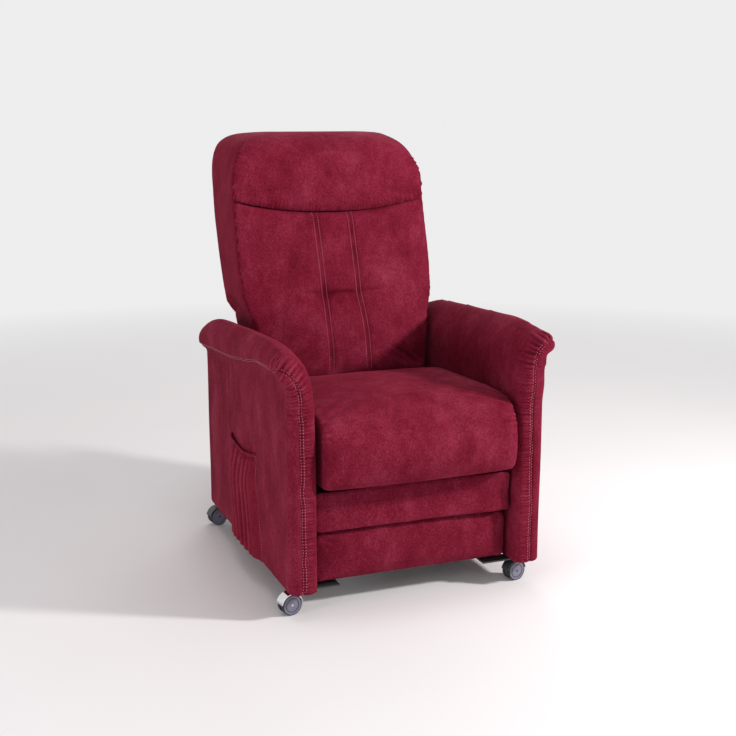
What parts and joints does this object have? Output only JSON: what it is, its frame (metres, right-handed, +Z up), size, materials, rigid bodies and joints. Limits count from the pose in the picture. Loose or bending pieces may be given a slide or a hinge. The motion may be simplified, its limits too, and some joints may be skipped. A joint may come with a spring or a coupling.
{
  "type": "lift recliner chair",
  "caption": "Upholstered recliner armchair on castors with a powered lift base, reclining back, folding footrest and side pocket with hand control.",
  "frame": {"origin": "on the floor under the centre of the chair's plan", "axes": "+X across the seat to the viewer's right when seen from the front, +Y to the back, +Z up; the sitter looks along -Y"},
  "size_m": [0.7092, 0.865, 1.12],
  "materials": {
    "upholstery": "brushed microfibre, deep wine red",
    "piping": "same cloth, plain border and facing",
    "pocket_cloth": "same cloth, gathered",
    "black_steel": "black powder coat",
    "zinc_steel": "bright zinc",
    "drive_plastic": "fine grained black",
    "wood": "plain birch plywood",
    "strap": "woven elastic webbing",
    "castor_metal": "bright plated hood",
    "castor_wheel": "grey wheel face",
    "handset": "dark grey case",
    "button": "light grey key"
  },
  "bodies": {
    "base": {"base_rail_left": "black_steel", "base_rail_right": "black_steel", "base_cross_front": "black_steel", "base_cross_rear": "black_steel", "lift_motor": "drive_plastic", "power_box": "drive_plastic", "power_inlet": "drive_plastic"},
    "rear_lift": {"rear_lift_links": "black_steel"},
    "front_lift": {"front_lift_links": "black_steel"},
    "lift_slide": {"lift_rod": "zinc_steel"},
    "seat": {"seat_side_plates": "black_steel", "seat_cross_bars": "black_steel", "lift_carriers": "black_steel", "seat_front_rail": "wood", "back_hinge_shaft": "zinc_steel", "seat_springs": "zinc_steel", "seat_cushion": "upholstery", "arm_right": "upholstery", "arm_left": "upholstery", "arm_boards": "wood", "arm_bolts": "zinc_steel", "arm_facing_right": "piping", "arm_facing_left": "piping", "side_pocket": "pocket_cloth", "rear_panel": "piping", "foot_motor": "drive_plastic", "recline_motor": "drive_plastic"},
    "back": {"back_posts": "black_steel", "recline_crank": "black_steel", "back_rails": "wood", "back_straps": "strap", "back_shell": "piping", "back_cushion": "upholstery", "head_cushion": "upholstery"},
    "recline_slide": {"recline_rod": "zinc_steel"},
    "foot_drive": {"foot_drive_links": "black_steel"},
    "foot_guide": {"foot_guide_links": "black_steel"},
    "foot_carrier": {"foot_carrier_links": "black_steel"},
    "foot_tilt": {"foot_tilt_links": "black_steel"},
    "footrest": {"footrest_brackets": "black_steel", "footrest_board": "wood", "footrest_pad": "upholstery", "footrest_flap": "upholstery", "flap_backing": "wood"},
    "foot_slide": {"foot_rod": "zinc_steel"},
    "handset": {"handset_case": "handset"},
    "castor_front_left": {"castor_housing_front_left": "castor_metal"},
    "wheels_front_left": {"castor_wheels_front_left": "castor_wheel"},
    "castor_front_right": {"castor_housing_front_right": "castor_metal"},
    "wheels_front_right": {"castor_wheels_front_right": "castor_wheel"},
    "castor_rear_left": {"castor_housing_rear_left": "castor_metal"},
    "wheels_rear_left": {"castor_wheels_rear_left": "castor_wheel"},
    "castor_rear_right": {"castor_housing_rear_right": "castor_metal"},
    "wheels_rear_right": {"castor_wheels_rear_right": "castor_wheel"},
    "button_a": {"handset_button_a": "button"},
    "button_b": {"handset_button_b": "button"},
    "button_c": {"handset_button_c": "button"},
    "button_d": {"handset_button_d": "button"}
  },
  "joints": [
    {"name": "lift", "type": "hinge", "parent": "base", "child": "rear_lift", "pos_m": [0, -0.1605, 0.1036], "axis": [1, 0, 0], "range_deg": [0, 45]},
    {"name": "seat_tilt", "type": "hinge", "parent": "rear_lift", "child": "seat", "pos_m": [0, 0.2992, 0.1202], "axis": [-1, 0, 0], "range_deg": [0, 22]},
    {"name": "front_link", "type": "hinge", "parent": "base", "child": "front_lift", "pos_m": [0, -0.2404, 0.11], "axis": [1, 0, 0], "range_deg": [0, 54]},
    {"name": "lift_rod_slide", "type": "slide", "parent": "base", "child": "lift_slide", "axis": [0, -1, 0], "range_m": [0, 0.08]},
    {"name": "recline", "type": "hinge", "parent": "seat", "child": "back", "pos_m": [0, 0.1895, 0.48], "axis": [-1, 0, 0], "range_deg": [0, 32]},
    {"name": "recline_rod_slide", "type": "slide", "parent": "seat", "child": "recline_slide", "axis": [0, -1, 0], "range_m": [0, 0.13]},
    {"name": "foot_raise", "type": "hinge", "parent": "seat", "child": "foot_drive", "pos_m": [0, -0.2885, 0.272], "axis": [-1, 0, 0], "range_deg": [0, 97.8]},
    {"name": "foot_guide_swing", "type": "hinge", "parent": "seat", "child": "foot_guide", "pos_m": [0, -0.1785, 0.27], "axis": [-1, 0, 0], "range_deg": [0, 98]},
    {"name": "foot_carrier_swing", "type": "hinge", "parent": "foot_drive", "child": "foot_carrier", "pos_m": [0, -0.2305, 0.1311], "axis": [1, 0, 0], "range_deg": [0, 98]},
    {"name": "foot_tilt_swing", "type": "hinge", "parent": "foot_drive", "child": "foot_tilt", "pos_m": [0, -0.2497, 0.08], "axis": [1, 0, 0], "range_deg": [0, 101]},
    {"name": "footrest_tilt", "type": "hinge", "parent": "foot_carrier", "child": "footrest", "pos_m": [0, -0.3105, 0.271], "axis": [-1, 0, 0], "range_deg": [0, 87]},
    {"name": "foot_rod_slide", "type": "slide", "parent": "seat", "child": "foot_slide", "axis": [0, -1, 0], "range_m": [0, 0.12]},
    {"name": "handset_lift", "type": "slide", "parent": "seat", "child": "handset", "axis": [0, 0, 1], "range_m": [0, 0.27]},
    {"name": "swivel_front_left", "type": "hinge", "parent": "base", "child": "castor_front_left", "pos_m": [-0.301, -0.3315, 0.058], "axis": [0, 0, 1], "continuous": true},
    {"name": "roll_front_left", "type": "hinge", "parent": "castor_front_left", "child": "wheels_front_left", "pos_m": [-0.31469, -0.33441, 0.025], "axis": [-0.2079, 0.9781, 0], "continuous": true},
    {"name": "swivel_front_right", "type": "hinge", "parent": "base", "child": "castor_front_right", "pos_m": [0.301, -0.3315, 0.058], "axis": [0, 0, 1], "continuous": true},
    {"name": "roll_front_right", "type": "hinge", "parent": "castor_front_right", "child": "wheels_front_right", "pos_m": [0.28731, -0.33441, 0.025], "axis": [-0.2079, 0.9781, 0], "continuous": true},
    {"name": "swivel_rear_left", "type": "hinge", "parent": "base", "child": "castor_rear_left", "pos_m": [-0.301, 0.3555, 0.058], "axis": [0, 0, 1], "continuous": true},
    {"name": "roll_rear_left", "type": "hinge", "parent": "castor_rear_left", "child": "wheels_rear_left", "pos_m": [-0.31469, 0.35259, 0.025], "axis": [-0.2079, 0.9781, 0], "continuous": true},
    {"name": "swivel_rear_right", "type": "hinge", "parent": "base", "child": "castor_rear_right", "pos_m": [0.301, 0.3555, 0.058], "axis": [0, 0, 1], "continuous": true},
    {"name": "roll_rear_right", "type": "hinge", "parent": "castor_rear_right", "child": "wheels_rear_right", "pos_m": [0.28731, 0.35259, 0.025], "axis": [-0.2079, 0.9781, 0], "continuous": true},
    {"name": "press_a", "type": "slide", "parent": "handset", "child": "button_a", "axis": [1, 0, 0], "range_m": [0, 0.0012], "stiffness_N_per_m": 500},
    {"name": "press_b", "type": "slide", "parent": "handset", "child": "button_b", "axis": [1, 0, 0], "range_m": [0, 0.0012], "stiffness_N_per_m": 500},
    {"name": "press_c", "type": "slide", "parent": "handset", "child": "button_c", "axis": [1, 0, 0], "range_m": [0, 0.0012], "stiffness_N_per_m": 500},
    {"name": "press_d", "type": "slide", "parent": "handset", "child": "button_d", "axis": [1, 0, 0], "range_m": [0, 0.0012], "stiffness_N_per_m": 500}
  ],
  "couplings": [
    {"joint": "seat_tilt", "follows": "lift", "ratio": 0.468},
    {"joint": "front_link", "follows": "lift", "ratio": 1.19},
    {"joint": "lift_rod_slide", "follows": "lift", "m_per_rad": 0.09745},
    {"joint": "recline_rod_slide", "follows": "recline", "m_per_rad": 0.22702},
    {"joint": "foot_guide_swing", "follows": "foot_raise", "ratio": 1},
    {"joint": "foot_carrier_swing", "follows": "foot_raise", "ratio": 1},
    {"joint": "foot_tilt_swing", "follows": "foot_raise", "ratio": 1.019},
    {"joint": "footrest_tilt", "follows": "foot_raise", "ratio": 0.879},
    {"joint": "foot_rod_slide", "follows": "foot_raise", "m_per_rad": 0.06622}
  ]
}
